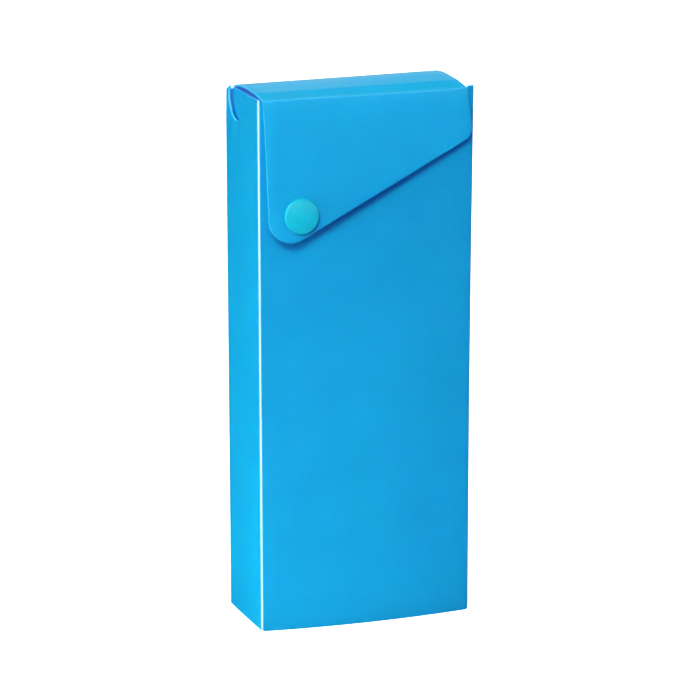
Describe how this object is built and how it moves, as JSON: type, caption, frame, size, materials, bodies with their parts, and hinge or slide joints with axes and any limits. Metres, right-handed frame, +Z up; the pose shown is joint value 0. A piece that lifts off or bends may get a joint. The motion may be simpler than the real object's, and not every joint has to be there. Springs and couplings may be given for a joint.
{
  "type": "sliding pencil case",
  "caption": "Tall flat pencil case: a folded plastic tray slides up out of a sleeve with thumb notches, and a slanted lid flap closes on a press stud.",
  "frame": {"origin": "middle of the base, on the surface that the case stands on", "axes": "+Z up along the case's length, -Y out of the front where the flap closes, +X to the right as seen from the front"},
  "size_m": [0.0894, 0.0478, 0.2163],
  "materials": {
    "sleeve_sheet": "satin translucent polypropylene sheet, saturated blue",
    "tray_sheet": "satin translucent polypropylene sheet, saturated blue",
    "lid_sheet": "satin translucent polypropylene sheet, saturated blue",
    "snap_plastic": "smooth moulded plastic, teal"
  },
  "bodies": {
    "sleeve": {"sleeve_walls": "sleeve_sheet", "sleeve_bottom_panel": "sleeve_sheet", "sleeve_dust_flap_left": "sleeve_sheet", "sleeve_dust_flap_right": "sleeve_sheet", "snap_stud": "snap_plastic", "snap_back_cap": "snap_plastic"},
    "tray": {"tray_walls": "tray_sheet", "tray_bottom_panel": "tray_sheet", "tray_dust_flap_left": "tray_sheet", "tray_dust_flap_right": "tray_sheet"},
    "lid": {"lid_top_panel": "lid_sheet"},
    "lid_strip": {"lid_front_strip": "lid_sheet"},
    "flap": {"closure_flap": "lid_sheet", "snap_cap": "snap_plastic", "snap_socket": "snap_plastic"}
  },
  "joints": [
    {"name": "tray_slide", "type": "slide", "parent": "sleeve", "child": "tray", "axis": [0, 0, 1], "range_m": [0, 0.2]},
    {"name": "lid_hinge", "type": "hinge", "parent": "tray", "child": "lid", "pos_m": [0, 0.0184, 0.21255], "axis": [-1, 0, 0], "range_deg": [0, 150]},
    {"name": "strip_hinge", "type": "hinge", "parent": "lid", "child": "lid_strip", "pos_m": [0, -0.0182, 0.2139], "axis": [-1, 0, 0], "range_deg": [0, 60]},
    {"name": "flap_hinge", "type": "hinge", "parent": "lid_strip", "child": "flap", "pos_m": [0, -0.02112, 0.21235], "axis": [-1, 0, 0], "range_deg": [0, 60]}
  ]
}
